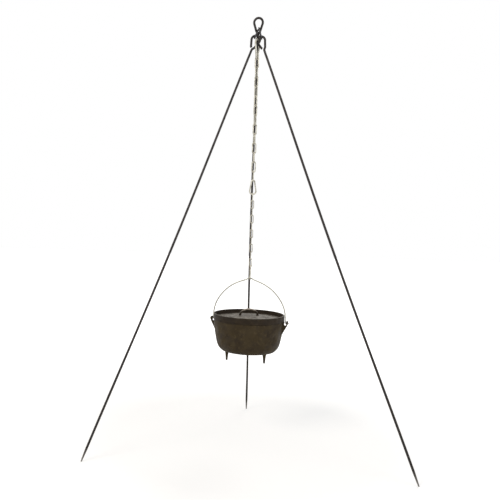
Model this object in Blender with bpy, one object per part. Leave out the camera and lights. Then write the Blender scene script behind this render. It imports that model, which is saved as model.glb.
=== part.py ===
"""Cooking tripod with a hanging chain and a lidded camp oven, as separate moving pieces.

Metres, +Z up. The origin lies on the ground in the middle of the footprint. Three bent rods stand
around a plumb line. Oval links tie their eyes together, and the chain and pot hang below.
"""
import math

import bmesh
import bpy
import numpy as np
from mathutils import Matrix, Vector

MM = 0.001
GAP = 0.3 * MM  # between pieces that touch

# Stance
FRONT_FOOT_RADIUS = 0.612
BACK_FOOT_RADIUS = 0.3895
FRONT_EYE_HEIGHT = 1.4295
ROD = 8 * MM
ROD_TIP = 4 * MM
TIP_TAPER = 0.048
FRONT_BOW = 8 * MM
BACK_BOW = 5 * MM

# Eyes of the rods and the oval links between them: top radius, top height, low radius, low height
EYE_TOP_RADIUS = 15 * MM
EYE_TOP_RISE = 4 * MM
EYE_LOW_RADIUS = 7.3 * MM
EYE_LOW_DROP = 21.7 * MM
EYE_NECK = 37 * MM
EYE_END_ANGLE = math.radians(228)
OVAL_WIRE = 6 * MM
OVAL_RADIUS = 8 * MM
OVAL_HALF = 11.5 * MM

# Where the top pieces lie, from the plumb line and the front eyes' height
BACK_EYE = Vector((-0.23, 4.69, 60.65)) * MM
LEFT_EYE = Vector((-9.07, -4.52, 0)) * MM
RIGHT_EYE = Vector((10.83, 4.63, 0)) * MM
BACK_EYE_TURN, LEFT_EYE_TURN, RIGHT_EYE_TURN = -0.08, -0.04, 0.08
LEFT_OVAL = Vector((-6.504, 5.248, 25.662)) * MM
LEFT_OVAL_TURNS = (0.377, -0.561, 0.441)
RIGHT_OVAL = Vector((7.241, 9.79, 29.222)) * MM
RIGHT_OVAL_TURNS = (-0.089, -0.025, -0.262)

# Snap hooks: wire, wide and narrow bend radii (centreline), whole length
BIG_HOOK_WIRE, BIG_HOOK_WIDE, BIG_HOOK_NARROW, BIG_HOOK_LENGTH = 6 * MM, 15 * MM, 6 * MM, 73 * MM
BIG_HOOK_NOSE = 10.8 * MM  # how far the nose runs down the gate's side
HOOK_WIRE, HOOK_WIDE, HOOK_NARROW, HOOK_LENGTH = 5 * MM, 11 * MM, 5.5 * MM, 55 * MM
HOOK_NOSE = 2 * MM
BIG_HOOK_CENTRE = Vector((-1.53, -4.45, -10.2)) * MM
BIG_HOOK_YAW = math.radians(-26.2)
MIDDLE_HOOK_YAW = math.radians(-90)
LOWER_HOOK_YAW = 0.0

# Chains
UPPER_LINKS, UPPER_WIRE, UPPER_PITCH, UPPER_BEND = 13, 4 * MM, 33 * MM, 6 * MM
LOWER_LINKS, LOWER_WIRE, LOWER_PITCH, LOWER_BEND = 10, 3 * MM, 25.9 * MM, 4.5 * MM

# Pot, lid and bail
BAIL_WIRE = 4.2 * MM
POT_YAW = math.radians(-11.5)
EAR_WIDTH = 16 * MM
EAR_FACE = 140.5 * MM  # outer side of the ears from the pot's middle
EAR_PLATE = 5.5 * MM
EAR_RISE = 141.5 * MM  # the bail's pins above the tips of the pot's feet
BAIL_DROP = 154.2 * MM  # from the bail's peak down to its pins
EAR_HOLE = BAIL_WIRE / 2 + 0.6 * MM
POT_FOOT_RADIUS = 0.078
POT_FOOT_HEIGHT = 35.5 * MM
LID_RISE = EAR_RISE + 3.5 * MM  # the lid's seat above the tips of the pot's feet
LID_HANDLE_YAW = math.radians(11)

SIDES = 8
TURNED_SEGMENTS = 36

# Middle of the footprint, from the plumb line through the top
FOOTPRINT_MIDDLE = (BACK_FOOT_RADIUS - FRONT_FOOT_RADIUS / 2) / 2
PLUMB = Vector((0, -FOOTPRINT_MIDDLE, 0))
TOP = PLUMB + Vector((0, 0, FRONT_EYE_HEIGHT))


def clear_scene():
    for item in list(bpy.data.objects):
        bpy.data.objects.remove(item, do_unlink=True)


def material(name, colour, roughness, metallic):
    """A plain surface of one colour."""
    made = bpy.data.materials.new(name)
    made.use_nodes = True
    surface = made.node_tree.nodes["Principled BSDF"]
    surface.inputs["Base Color"].default_value = (*colour, 1)
    surface.inputs["Roughness"].default_value = roughness
    surface.inputs["Metallic"].default_value = metallic
    return made


def add_object(name, mesh, finish, location=(0, 0, 0), yaw=0.0, smooth=True):
    if finish is not None and not mesh.materials:
        mesh.materials.append(finish)
    if smooth:
        mesh.shade_smooth()
        mesh.set_sharp_from_angle(angle=math.radians(50))
    made = bpy.data.objects.new(name, mesh)
    made.location = location
    made.rotation_euler = (0, 0, yaw)
    bpy.context.scene.collection.objects.link(made)
    return made


def mesh_from(bm, name):
    bmesh.ops.recalc_face_normals(bm, faces=bm.faces[:])
    mesh = bpy.data.meshes.new(name)
    bm.to_mesh(mesh)
    bm.free()
    return mesh


def use_with(target, other, operation):
    """Join other to target or cut it away, and keep it as a hidden guide."""
    step = target.modifiers.new(other.name, "BOOLEAN")
    step.operation = operation
    step.solver = "EXACT"
    step.object = other
    other.hide_render = True
    other.display_type = "WIRE"


def tangents(points, closed):
    """Unit direction of the centreline at each of its points."""
    ahead = np.roll(points, -1, axis=0) - points
    behind = points - np.roll(points, 1, axis=0)
    if not closed:
        ahead[-1] = behind[-1]
        behind[0] = ahead[0]
    ahead /= np.linalg.norm(ahead, axis=1)[:, None]
    behind /= np.linalg.norm(behind, axis=1)[:, None]
    both = ahead + behind
    return both / np.linalg.norm(both, axis=1)[:, None]


def tube(name, points, radii, normal, closed=False, floor=None, sides=SIDES):
    """A bent bar as a mesh.

    points is the centreline, radii a radius or one pair for each point (along normal, across it),
    normal the direction square to the plane of the bend, and floor a height at which the first
    end is cut level.
    """
    points = np.array([tuple(p) for p in points], dtype=float)
    radii = np.broadcast_to(np.array(radii, dtype=float).reshape(-1, 1) if np.ndim(radii) < 2 else radii,
                            (len(points), 2))
    normal = np.array(tuple(normal), dtype=float)
    bm = bmesh.new()
    rings = []
    for index, (point, along) in enumerate(zip(points, tangents(points, closed))):
        side = normal - along * (normal @ along)
        side /= np.linalg.norm(side)
        out = np.cross(along, side)
        ring = []
        for step in range(sides):
            angle = 2 * math.pi * (step + 0.5) / sides
            place = point + side * (radii[index][0] * math.cos(angle)) + out * (radii[index][1] * math.sin(angle))
            if floor is not None and index == 0:
                place = place + along * ((floor - place[2]) / along[2])
            ring.append(bm.verts.new(place))
        rings.append(ring)
    pairs = list(zip(rings, rings[1:]))
    if closed:
        pairs.append((rings[-1], rings[0]))
    else:
        bm.faces.new(rings[0][::-1])
        bm.faces.new(rings[-1])
    for first, second in pairs:
        for step in range(sides):
            after = (step + 1) % sides
            bm.faces.new((first[step], first[after], second[after], second[step]))
    return mesh_from(bm, name)


def turned(name, profile, segments=TURNED_SEGMENTS):
    """A closed profile of (radius, height) points, turned about the Z axis."""
    bm = bmesh.new()
    columns = []
    for radius, height in profile:
        if radius == 0:
            columns.append([bm.verts.new((0, 0, height))] * segments)
            continue
        columns.append([bm.verts.new((radius * math.cos(2 * math.pi * step / segments),
                                      radius * math.sin(2 * math.pi * step / segments), height))
                        for step in range(segments)])
    open_profile = profile[0][0] == 0
    pairs = list(zip(columns, columns[1:]))
    if not open_profile:
        pairs.append((columns[-1], columns[0]))
    for first, second in pairs:
        for step in range(segments):
            after = (step + 1) % segments
            corners = []
            for corner in (first[step], first[after], second[after], second[step]):
                if corner not in corners:
                    corners.append(corner)
            bm.faces.new(corners)
    return mesh_from(bm, name)


def prism(name, outline, width):
    """An outline in the XZ plane, as thick as width along Y."""
    bm = bmesh.new()
    face = bm.faces.new([bm.verts.new((x, -width / 2, z)) for x, z in outline])
    moved = bmesh.ops.extrude_face_region(bm, geom=[face])["geom"]
    bmesh.ops.translate(bm, vec=(0, width, 0), verts=[v for v in moved if isinstance(v, bmesh.types.BMVert)])
    return mesh_from(bm, name)


def rod_along_x(name, length, radius, segments=12):
    bm = bmesh.new()
    bmesh.ops.create_cone(bm, cap_ends=True, segments=segments, radius1=radius, radius2=radius, depth=length,
                          matrix=Matrix.Rotation(math.pi / 2, 4, "Y"))
    return mesh_from(bm, name)


def arc(centre, radius, start, end, steps):
    """Points (u, v) along an arc, both ends included."""
    return [(centre[0] + radius * math.cos(start + (end - start) * step / steps),
             centre[1] + radius * math.sin(start + (end - start) * step / steps)) for step in range(steps + 1)]


def egg(top_radius, top, low_radius, low, top_steps=6, low_steps=6):
    """A closed centreline of two bends joined by straight sides."""
    lean = math.asin((top_radius - low_radius) / (top - low))
    upper = arc((0, top), top_radius, -lean, math.pi + lean, top_steps)
    lower = arc((0, low), low_radius, math.pi + lean, 2 * math.pi - lean, low_steps)
    return upper + lower


def smooth_run(start, start_way, end, end_way, steps):
    """Inner points of an S bend between two places with known directions."""
    run = []
    for step in range(1, steps):
        t = step / steps
        keep = (2 * t**3 - 3 * t**2 + 1, t**3 - 2 * t**2 + t, -2 * t**3 + 3 * t**2, t**3 - t**2)
        run.append(tuple(keep[0] * start[i] + keep[1] * start_way[i] + keep[2] * end[i] + keep[3] * end_way[i]
                         for i in range(2)))
    return run


def eye_path():
    """The bent end of a rod as (u, v) points, from its neck round to just short of the neck."""
    span = EYE_TOP_RISE + EYE_LOW_DROP
    lean = math.asin((EYE_TOP_RADIUS - EYE_LOW_RADIUS) / span)
    low = (0, -EYE_LOW_DROP)
    joint = (EYE_LOW_RADIUS * math.cos(lean), low[1] - EYE_LOW_RADIUS * math.sin(lean))
    pull = EYE_NECK - EYE_LOW_DROP
    neck = smooth_run((0, -EYE_NECK), (0, pull), joint, (pull * math.sin(lean), pull * math.cos(lean)), 5)
    over = arc((0, EYE_TOP_RISE), EYE_TOP_RADIUS, -lean, math.pi + lean, 10)
    back = arc(low, EYE_LOW_RADIUS, math.pi + lean, EYE_END_ANGLE, 2)
    return [(0, -EYE_NECK)] + neck + [joint] + over + back


def leg(name, azimuth, foot_radius, eye, eye_turn, bow, finish):
    """A rod with a pointed foot and an eye, standing on the ground."""
    foot = PLUMB + Vector((foot_radius * math.cos(azimuth), foot_radius * math.sin(azimuth), 0))
    top = TOP + eye
    up = (top - foot).normalized()
    front = Vector((0, -1, 0))
    facing = (front - up * front.dot(up)).normalized()
    facing = facing * math.cos(eye_turn) + up.cross(facing) * math.sin(eye_turn)
    across = up.cross(facing)
    length = (top - foot).length
    neck = 1 - EYE_NECK / length
    taper = TIP_TAPER / length
    shares = [0, taper / 2, taper] + [taper + (neck - taper) * step / 9 for step in range(1, 9)]
    points = [foot + (top - foot) * s + bow * (16 * s**2 * (1 - s)**2) for s in shares]
    radii = [ROD_TIP / 2, (ROD + ROD_TIP) / 4, ROD / 2]
    for u, v in eye_path():
        points.append(top + across * u + up * v)
    radii += [ROD / 2] * (len(points) - 3)
    mesh = tube(name, [p - top for p in points], radii, facing, floor=-top.z)
    return add_object(name, mesh, finish, top)


def oval_link(name, centre, turns, finish):
    outline = egg(OVAL_RADIUS, OVAL_HALF, OVAL_RADIUS, -OVAL_HALF, 8, 8)
    mesh = tube(name, [(0, y, z) for y, z in outline], OVAL_WIRE / 2, (1, 0, 0), closed=True)
    made = add_object(name, mesh, finish, TOP + centre)
    yaw, pitch, roll = turns
    turn = Matrix.Rotation(yaw, 4, "Z") @ Matrix.Rotation(pitch, 4, "X") @ Matrix.Rotation(roll, 4, "Y")
    made.rotation_euler = turn.to_euler()
    return made


def rivet_mesh(name, wire):
    """A rivet along X with a head at each end."""
    reach = wire / 2 + GAP
    head = wire * 0.1
    bore = wire * 0.15
    profile = [(0, -reach - head), (wire * 0.22, -reach - head), (wire * 0.3, -reach), (bore, -reach),
               (bore, reach), (wire * 0.3, reach), (wire * 0.22, reach + head), (0, reach + head)]
    mesh = turned(name, profile[::-1], 10)
    mesh.transform(Matrix.Rotation(math.pi / 2, 4, "Y"))
    return mesh


class SnapHook:
    """Sizes of a snap hook in its own YZ plane, and the pieces made from them.

    hang is how far the top of the hook's wire centreline lies above the hook's origin, wide_up says
    which end holds the wide bend, and nose_drop how far the nose runs down the gate's side.
    """

    def __init__(self, wire, wide, narrow, length, hang, wide_up, nose_drop):
        self.wire = wire
        self.flip = 1 if wide_up else -1
        self.middle = hang - (length - wire) / 2
        half = (length - wire) / 2
        self.wide_bend = half - wide
        self.narrow_bend = -half + narrow
        self.wide = wide
        self.narrow = narrow
        self.lean = math.asin((wide - narrow) / (self.wide_bend - self.narrow_bend))
        lean = self.lean
        self.nose = (wide * math.cos(lean), self.wide_bend - wide * math.sin(lean))
        self.neck = (narrow * math.cos(lean), self.narrow_bend - narrow * math.sin(lean))
        self.way = (math.sin(lean), math.cos(lean))
        self.nose = self.along(self.nose, -nose_drop)
        self.pivot = self.along(self.neck, wire * 1.2)
        self.bottom = hang - (length - wire)

    def along(self, place, distance):
        return (place[0] + self.way[0] * distance, place[1] + self.way[1] * distance)

    def local(self, place):
        """A point of the hook's outline in the hook's own axes."""
        return Vector((0, place[0], self.middle + self.flip * place[1]))

    def body(self, name, finish, location, yaw):
        lean = self.lean
        over = arc((0, self.wide_bend), self.wide, -lean, math.pi + lean, 8)
        under = arc((0, self.narrow_bend), self.narrow, math.pi + lean, 2 * math.pi - lean, 6)
        tab_start = self.along(self.pivot, -self.wire * 0.8)
        tab_end = self.along(self.pivot, self.wire * 0.3)
        outline = [self.nose] + over + under + [self.along(tab_start, -self.wire * 0.15), tab_start, tab_end]
        full = (self.wire / 2, self.wire / 2)
        flat = (self.wire / 6, self.wire * 0.43)
        radii = [full] * (len(outline) - 2) + [flat] * 2
        mesh = tube(name, [self.local(p) for p in outline], radii, (1, 0, 0))
        made = add_object(name, mesh, finish, location, yaw)
        hole = rod_along_x(name + "_hole", self.wire, self.wire * 0.15 + GAP)
        cutter = add_object(name + "_hole", hole, None, made.location, yaw, smooth=False)
        cutter.location = made.location + Matrix.Rotation(yaw, 3, "Z") @ self.local(self.pivot)
        use_with(made, cutter, "DIFFERENCE")
        return made

    def gate(self, name, finish, location, yaw):
        place = Vector(location) + Matrix.Rotation(yaw, 3, "Z") @ self.local(self.pivot)
        zero = self.local(self.pivot)
        shut = math.dist(self.nose, self.pivot) - 0.4 * MM
        ends = [self.along(self.pivot, d) for d in (-self.wire * 0.42, shut)]
        mesh = tube(name, [self.local(p) - zero for p in ends], self.wire / 2, (1, 0, 0))
        made = add_object(name, mesh, finish, place, yaw)
        slot_half = self.wire / 6 + GAP
        slot = [self.along(self.pivot, d) for d in (-self.wire, self.wire * 0.62)]
        cut = tube(name + "_slot", [self.local(p) - zero for p in slot],
                   [(slot_half * math.sqrt(2), self.wire)] * 2, (1, 0, 0), sides=4)
        use_with(made, add_object(name + "_slot", cut, None, place, yaw, smooth=False), "DIFFERENCE")
        hole = rod_along_x(name + "_hole", self.wire * 1.5, self.wire * 0.15 + GAP)
        use_with(made, add_object(name + "_hole", hole, None, place, yaw, smooth=False), "DIFFERENCE")
        return made

    def rivet(self, name, finish, location, yaw):
        place = Vector(location) + Matrix.Rotation(yaw, 3, "Z") @ self.local(self.pivot)
        return add_object(name, rivet_mesh(name, self.wire), finish, place, yaw)

    def build(self, name, finish, location, yaw):
        self.body(name + "_body", finish, location, yaw)
        self.gate(name + "_gate", finish, location, yaw)
        self.rivet(name + "_rivet", finish, location, yaw)


def link_mesh(name, wire, pitch, bend, above):
    """A chain link in its own XZ plane; its origin is the centre of the wire above, which it hangs on."""
    inner = pitch + GAP
    top = above / 2 + GAP + wire / 2
    half = inner / 2 + wire / 2 - bend
    middle = top - inner / 2 - wire / 2
    outline = egg(bend, half, bend, -half)
    return tube(name, [(x, 0, middle + z) for x, z in outline], wire / 2, (0, 1, 0), closed=True)


def chain(name, count, wire, pitch, bend, above, start, first_yaw, last_yaw, finish):
    """A run of links, each a quarter turn from the last, and the height of the last link's wire."""
    shared = link_mesh(name, wire, pitch, bend, wire)
    pivot = start.copy()
    for index in range(count):
        yaw = first_yaw + (last_yaw - first_yaw) * index / (count - 1) + (math.pi / 2) * (index % 2)
        mesh = link_mesh(name + "_first", wire, pitch, bend, above) if index == 0 else shared
        add_object(f"{name}_{index + 1:02d}", mesh, finish, pivot, yaw)
        inner = pitch + GAP
        pivot.z += (above / 2 if index == 0 else wire / 2) + GAP - inner - wire / 2
    return pivot


def bail_outline():
    """One half of the bail from its peak down to the pin's end: (across, height from the peak), radius."""
    arch = [(0, 0), (3.5, -0.5), (8, -2.1), (14, -6.1), (28, -10.5), (48, -18.2), (66, -28.2), (83, -40.7),
            (99, -57.2), (112, -74.7), (121.5, -92.2), (127.5, -109.7), (130.5, -126.7), (131.1, -142.7)]
    arch = [(x * MM, z * MM) for x, z in arch]
    bend = 3.8 * MM
    pin = arc((arch[-1][0] + bend, bend - BAIL_DROP), bend, math.pi, math.pi * 1.5, 4)
    head = [(x * MM, -BAIL_DROP) for x in (141.1, 141.2, 143.2, 143.8)]
    wire = BAIL_WIRE / 2
    radii = [wire] * (len(arch) + len(pin) + 1) + [wire * 1.4, wire * 1.4, wire]
    return arch + pin + head, radii


def bail(finish, origin, peak):
    """The bail turns about the hook's wire at origin, and its own wire rides at peak."""
    half, radii = bail_outline()
    whole = [(-x, z) for x, z in half[:0:-1]] + half
    sizes = radii[:0:-1] + radii
    mesh = tube("bail", [(x, 0, z + peak - origin.z) for x, z in whole], sizes, (0, 1, 0))
    return add_object("bail", mesh, finish, origin, POT_YAW)


def pot_profile():
    """Turned body, from the middle of the floor up the outside, then down the inside."""
    rim = (LID_RISE - GAP) / MM
    outside = [(0, 33), (87, 33.2), (95, 35.4), (100.3, 40.2), (106.8, 47.5), (113, 61), (121, rim - 43.7),
               (124.3, rim - 13.7), (124.5, rim)]
    inside = [(120, rim), (119.8, rim - 13.7), (116.5, rim - 42.7), (108.5, 63), (101.5, 48), (95.5, 41.5),
              (86, 38.5), (0, 38.2)]
    return [(radius * MM, z * MM) for radius, z in outside + inside]


def ear_outline():
    """Side of an ear: a pocket for the bail's wire behind a plate that its pin goes through."""
    face, back = EAR_FACE / MM, (EAR_FACE - EAR_PLATE) / MM
    outline = [(119, -40.5), (121.2, -40.5), (face, -4), (face, 8), (back, 8), (back, -8.5), (127.2, -8.5),
               (127.2, 3), (122.2, 3)]
    return [(x * MM, EAR_RISE + z * MM) for x, z in outline]


def pot(finish, feet):
    """The pot turns about the bail's pins; feet is the point on the ground side below its middle."""
    pins = feet + Vector((0, 0, EAR_RISE))
    body = turned("pot", pot_profile())
    body.transform(Matrix.Translation((0, 0, -EAR_RISE)))
    made = add_object("pot", body, finish, pins, POT_YAW)
    turn = Matrix.Rotation(POT_YAW, 3, "Z")
    for index, azimuth in enumerate(math.radians(a) for a in (90, 210, 330)):
        bm = bmesh.new()
        bmesh.ops.create_cone(bm, cap_ends=True, segments=12, radius1=3.5 * MM, radius2=7 * MM,
                              depth=POT_FOOT_HEIGHT)
        spot = Vector((POT_FOOT_RADIUS * math.cos(azimuth), POT_FOOT_RADIUS * math.sin(azimuth), 0))
        place = feet + turn @ spot + Vector((0, 0, POT_FOOT_HEIGHT / 2))
        use_with(made, add_object(f"pot_foot_guide_{index}", mesh_from(bm, "pot_foot"), finish, place), "UNION")
    for side, direction in (("left", -1), ("right", 1)):
        lug = prism("ear", [(x * direction, z) for x, z in ear_outline()], EAR_WIDTH)
        use_with(made, add_object(f"pot_ear_guide_{side}", lug, finish, feet, POT_YAW, smooth=False), "UNION")
        hole = rod_along_x(f"pot_pin_hole_{side}", 12 * MM, EAR_HOLE)
        spot = pins + turn @ Vector((direction * (EAR_FACE - EAR_PLATE / 2), 0, 0))
        use_with(made, add_object(f"pot_pin_hole_{side}", hole, None, spot, POT_YAW, smooth=False), "DIFFERENCE")
    return made


def lid_profile():
    """Turned lid from its seat: over the domed top, round the rim, then back under the plate."""
    top = [(0, 17), (35, 16.3), (65, 14), (93, 9), (115, 5.3), (119.5, 6)]
    rim = [(121.2, 8), (121.6, 21.2), (122.4, 22), (125.6, 22), (126.4, 21.2), (126.4, 0)]
    under = [(118.8, 0), (118.3, -5.5), (115, -5.5), (114, 0), (93, 4.5), (60, 9.5), (0, 12.5)]
    return [(radius * MM, z * MM) for radius, z in top + rim + under]


def lid(finish, seat):
    made = add_object("lid", turned("lid", lid_profile()), finish, seat, LID_HANDLE_YAW)
    half_span, foot, top = 31.5 * MM, 14.5 * MM, 38.2 * MM
    turns = [math.pi - math.pi * step / 12 for step in range(13)]
    path = [(half_span * math.cos(a), 0, foot + (top - foot) * max(math.sin(a), 0)**0.75) for a in turns]
    root, grip = (6.2 * MM, 4.2 * MM), (5.6 * MM, 2.9 * MM)
    radii = [root] * 2 + [grip] * 9 + [root] * 2
    arch = tube("lid_handle", path, radii, (0, 1, 0))
    use_with(made, add_object("lid_handle_guide", arch, finish, seat, LID_HANDLE_YAW), "UNION")
    return made


def big_hook():
    return SnapHook(BIG_HOOK_WIRE, BIG_HOOK_WIDE, BIG_HOOK_NARROW, BIG_HOOK_LENGTH, BIG_HOOK_WIDE, True, BIG_HOOK_NOSE)


def small_hook(above):
    hang = above / 2 + GAP + HOOK_WIRE / 2
    return SnapHook(HOOK_WIRE, HOOK_WIDE, HOOK_NARROW, HOOK_LENGTH, hang, False, HOOK_NOSE)


def build():
    clear_scene()
    paint = material("rod_paint", (0.035, 0.030, 0.026), 0.45, 0.3)
    black = material("link_black", (0.012, 0.012, 0.012), 0.4, 0.3)
    zinc = material("zinc", (0.55, 0.54, 0.50), 0.35, 0.9)
    iron = material("cast_iron", (0.045, 0.036, 0.026), 0.6, 0.4)
    left_azimuth, right_azimuth, back_azimuth = (math.radians(a) for a in (210, 330, 90))
    inward = Vector((math.cos(math.radians(30)), math.sin(math.radians(30)), 0)) * FRONT_BOW
    leg("back_leg", back_azimuth, BACK_FOOT_RADIUS, BACK_EYE, BACK_EYE_TURN, Vector((-BACK_BOW, 0, 0)), paint)
    leg("left_leg", left_azimuth, FRONT_FOOT_RADIUS, LEFT_EYE, LEFT_EYE_TURN, inward, paint)
    leg("right_leg", right_azimuth, FRONT_FOOT_RADIUS, RIGHT_EYE, RIGHT_EYE_TURN,
        Vector((-inward.x, inward.y, 0)), paint)
    oval_link("top_link_left", LEFT_OVAL, LEFT_OVAL_TURNS, black)
    oval_link("top_link_right", RIGHT_OVAL, RIGHT_OVAL_TURNS, black)

    hook = big_hook()
    hook.build("upper_hook", zinc, TOP + BIG_HOOK_CENTRE, BIG_HOOK_YAW)
    pivot = TOP + BIG_HOOK_CENTRE + Vector((0, 0, hook.bottom))
    pivot = chain("upper_link", UPPER_LINKS, UPPER_WIRE, UPPER_PITCH, UPPER_BEND, BIG_HOOK_WIRE, pivot,
                  BIG_HOOK_YAW, MIDDLE_HOOK_YAW, zinc)
    hook = small_hook(UPPER_WIRE)
    hook.build("middle_hook", zinc, pivot, MIDDLE_HOOK_YAW)
    pivot = pivot + Vector((0, 0, hook.bottom))
    pivot = chain("lower_link", LOWER_LINKS, LOWER_WIRE, LOWER_PITCH, LOWER_BEND, HOOK_WIRE, pivot,
                  MIDDLE_HOOK_YAW, MIDDLE_HOOK_YAW, zinc)
    hook = small_hook(LOWER_WIRE)
    hook.build("lower_hook", zinc, pivot, LOWER_HOOK_YAW)
    pivot = pivot + Vector((0, 0, hook.bottom))
    peak = pivot.z + HOOK_WIRE / 2 + GAP + BAIL_WIRE / 2
    feet = Vector((pivot.x, pivot.y, peak - BAIL_DROP - EAR_RISE))
    bail(zinc, pivot, peak)
    pot(iron, feet)
    lid(iron, feet + Vector((0, 0, LID_RISE)))


build()
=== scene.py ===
"""Cooking tripod with a hanging chain and a lidded camp oven, dressed for its picture.

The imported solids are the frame. Each one is hidden behind a finer piece of the same size, which
rides on the same body: round bars with worn paint, zinc plated links and hooks, and cast iron.
"""
from __future__ import annotations

import logging
import math
from dataclasses import dataclass, field
from enum import Enum

import bmesh
import bpy
from mathutils import Matrix, Vector


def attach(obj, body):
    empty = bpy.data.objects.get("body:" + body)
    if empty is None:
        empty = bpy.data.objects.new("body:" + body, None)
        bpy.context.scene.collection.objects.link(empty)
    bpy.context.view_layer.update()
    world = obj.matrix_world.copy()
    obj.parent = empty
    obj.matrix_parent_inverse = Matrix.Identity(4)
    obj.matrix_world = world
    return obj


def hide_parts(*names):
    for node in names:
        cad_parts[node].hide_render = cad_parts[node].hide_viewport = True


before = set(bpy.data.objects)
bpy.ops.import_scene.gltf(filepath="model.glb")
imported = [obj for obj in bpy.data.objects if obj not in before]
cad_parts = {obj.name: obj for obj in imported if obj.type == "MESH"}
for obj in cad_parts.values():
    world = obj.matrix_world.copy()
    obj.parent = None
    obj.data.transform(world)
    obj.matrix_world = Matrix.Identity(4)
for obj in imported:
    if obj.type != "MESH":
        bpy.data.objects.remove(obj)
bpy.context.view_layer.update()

LOG = logging.getLogger("tripod")

MM = 0.001
GAP = 0.3 * MM
SHARP_BEND = math.radians(40)
CASTING_SEGMENTS = 128

PLUMB = Vector((0, -0.04175, 0))
FRONT_EYE_HEIGHT = 1.4295
TOP = PLUMB + Vector((0, 0, FRONT_EYE_HEIGHT))

Point = tuple[float, float]
Corner = tuple[float, float, float]


class Slot(Enum):
    """Finishes that the record names."""

    ROD = "rod_paint"
    LINK = "link_black"
    ZINC = "zinc"
    IRON = "cast_iron"


class HookEnd(Enum):
    """Which bend of a snap hook is at its top."""

    WIDE = 1
    NARROW = -1


# Colours and shader nodes


def linear(hex_colour: str) -> tuple[float, float, float, float]:
    """Turns a written colour into the linear values that shaders take.

    Args:
        hex_colour: sRGB as "#rrggbb".

    Returns:
        Linear red, green, blue and an alpha of one.
    """
    parts = [int(hex_colour[i:i + 2], 16) / 255 for i in (1, 3, 5)]
    red, green, blue = (p / 12.92 if p <= 0.04045 else ((p + 0.055) / 1.055) ** 2.4 for p in parts)
    return red, green, blue, 1.0


def per_size(millimetres: float) -> float:
    """Noise scale, on coordinates in metres, for blotches about that wide."""
    return 1000 / millimetres


def add_node(tree: bpy.types.NodeTree, kind: str, inputs: dict | None = None,
             **settings: object) -> bpy.types.Node:
    """Adds a node with its settings, values and links.

    Args:
        tree: the tree to add to.
        kind: the node's type name.
        inputs: socket name or number, to a socket to link from or a value to set.
        settings: the node's own properties.

    Returns:
        The new node.
    """
    node = tree.nodes.new(kind)
    for name, value in settings.items():
        setattr(node, name, value)
    for key, value in (inputs or {}).items():
        if isinstance(value, bpy.types.NodeSocket):
            tree.links.new(value, node.inputs[key])
        else:
            node.inputs[key].default_value = value
    return node


class Surface:
    """A material in the making. Its patterns lie on the object's own coordinates, in metres."""

    def __init__(self, name: str, base: str, metallic: float = 0.0, roughness: float = 0.5,
                 specular: float = 0.5) -> None:
        """Begins the material.

        Args:
            name: its name.
            base: its first colour, as "#rrggbb".
            metallic: one for bare metal and zero for paint.
            roughness: the even roughness, where no pattern is given for it later.
            specular: strength of the gloss, which a metal leaves at a half.
        """
        self.material = bpy.data.materials.new(name)
        self.material.use_nodes = True
        self.tree = self.material.node_tree
        self.shader = self.tree.nodes["Principled BSDF"].inputs
        self.shader["Metallic"].default_value = metallic
        self.shader["Roughness"].default_value = roughness
        self.shader["Specular IOR Level"].default_value = specular
        self.place = self.add("ShaderNodeTexCoord").outputs
        self.colour: object = linear(base)

    def add(self, kind: str, inputs: dict | None = None, **settings: object) -> bpy.types.Node:
        """Adds a node to this material."""
        return add_node(self.tree, kind, inputs, **settings)

    def blotches(self, width_mm: float, detail: float, low: float, high: float) -> bpy.types.NodeSocket:
        """Blotches of a real width, spread between zero and one.

        Args:
            width_mm: width of a blotch.
            detail: how many finer layers lie on it.
            low: noise value that becomes zero.
            high: noise value that becomes one.

        Returns:
            The spread value.
        """
        cloud = self.add("ShaderNodeTexNoise", {"Vector": self.place["Object"],
                                                "Scale": per_size(width_mm), "Detail": detail})
        return self.add("ShaderNodeMapRange", {0: cloud.outputs[0], 1: low, 2: high}).outputs[0]

    def band(self, start: float, end: float) -> bpy.types.NodeSocket:
        """A share that goes from zero at one height to one at another.

        Args:
            start: height in metres where it is zero.
            end: height in metres where it is one.

        Returns:
            The share.
        """
        height = self.add("ShaderNodeSeparateXYZ", {0: self.place["Object"]}).outputs[2]
        low, high = sorted((start, end))
        marks = {0: height, 1: low, 2: high, 3: float(start > end), 4: float(start < end)}
        return self.add("ShaderNodeMapRange", marks).outputs[0]

    def facing_up(self, most: float) -> bpy.types.NodeSocket:
        """A share that grows to the given most where the surface faces up."""
        height = self.add("ShaderNodeSeparateXYZ", {0: self.place["Normal"]}).outputs[2]
        return self.add("ShaderNodeMapRange", {0: height, 1: 0.45, 2: 0.95, 4: most}).outputs[0]

    def both(self, first: bpy.types.NodeSocket, second: bpy.types.NodeSocket) -> bpy.types.NodeSocket:
        """The share where two shares meet."""
        return self.add("ShaderNodeMath", {0: first, 1: second}, operation="MULTIPLY").outputs[0]

    def coat(self, share: bpy.types.NodeSocket, colour: str) -> None:
        """Lays a colour over what is there.

        Args:
            share: zero where nothing changes and one where the new colour covers.
            colour: as "#rrggbb".
        """
        mixed = {0: share, 6: self.colour, 7: linear(colour)}
        self.colour = self.add("ShaderNodeMix", mixed, data_type="RGBA").outputs[2]

    def roughen(self, share: bpy.types.NodeSocket, first: float, second: float) -> None:
        """Spreads the roughness between two values by a share."""
        spread = self.add("ShaderNodeMapRange", {0: share, 3: first, 4: second})
        self.tree.links.new(spread.outputs[0], self.shader["Roughness"])

    def emboss(self, share: bpy.types.NodeSocket, strength: float, depth_mm: float) -> None:
        """Raises the surface by a share, up to a depth in millimetres."""
        bump = self.add("ShaderNodeBump", {"Strength": strength, "Distance": depth_mm * MM,
                                           "Height": share})
        self.tree.links.new(bump.outputs[0], self.shader["Normal"])

    def done(self) -> bpy.types.Material:
        """Gives the shader its colour, and returns the material."""
        self.tree.links.new(self.colour, self.shader["Base Color"])
        return self.material


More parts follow.
